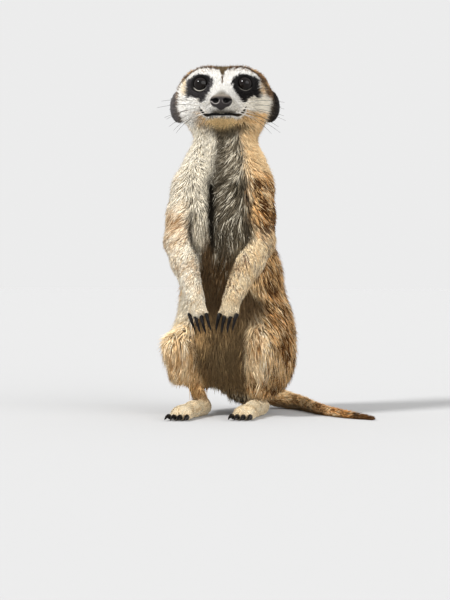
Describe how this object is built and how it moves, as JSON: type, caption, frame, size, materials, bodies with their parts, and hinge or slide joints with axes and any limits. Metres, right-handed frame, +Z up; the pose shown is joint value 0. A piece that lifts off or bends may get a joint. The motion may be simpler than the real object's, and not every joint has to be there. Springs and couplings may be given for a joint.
{
  "type": "meerkat figure",
  "caption": "Life-size still model of a meerkat sitting up on its haunches, hands hanging in front of the belly and the tail laid round on the floor to its left.",
  "frame": {"origin": "on the floor, under the middle of the whole model's bounding box", "axes": "+Z up from the floor to the crown, -Y the way the animal's chest faces, +X towards its left side"},
  "size_m": [0.1658, 0.1508, 0.2726],
  "materials": {
    "face": "short dense white and cream fur with dark eye patches",
    "throat": "short cream and tan fur, shaded grey-brown at the middle",
    "flank": "tan fur with dark brown bars and ticks",
    "haunch": "long cream-tan fur with brown streaks",
    "arm": "short cream fur with fine brown ticks",
    "leg": "short tan fur",
    "paw": "very short pale tan fur",
    "tail_end": "short brown fur, darkest at the tip",
    "ear": "very short black fur",
    "nose": "bare moist dark brown skin",
    "eye": "glossy near-black cornea and iris",
    "claw": "smooth black horn"
  },
  "bodies": {
    "root": {"eye_right": "eye", "eye_left": "eye", "nose": "nose", "ear_right": "ear", "ear_left": "ear", "neck": "throat", "lower_jaw": "face", "head": "face", "trunk": "flank", "hand_claw_right_1": "claw", "hand_claw_right_2": "claw", "hand_claw_right_3": "claw", "hand_claw_right_4": "claw", "upper_arm_right": "arm", "forearm_right": "arm", "hand_right": "paw", "hand_claw_left_1": "claw", "hand_claw_left_2": "claw", "hand_claw_left_3": "claw", "hand_claw_left_4": "claw", "upper_arm_left": "arm", "forearm_left": "arm", "hand_left": "paw", "foot_claw_right_1": "claw", "foot_claw_right_2": "claw", "foot_claw_right_3": "claw", "foot_claw_right_4": "claw", "thigh_right": "haunch", "shank_right": "leg", "foot_right": "paw", "foot_claw_left_1": "claw", "foot_claw_left_2": "claw", "foot_claw_left_3": "claw", "foot_claw_left_4": "claw", "thigh_left": "haunch", "shank_left": "leg", "foot_left": "paw", "tail_base": "flank", "tail_middle": "flank", "tail_tip": "tail_end"}
  },
  "joints": []
}
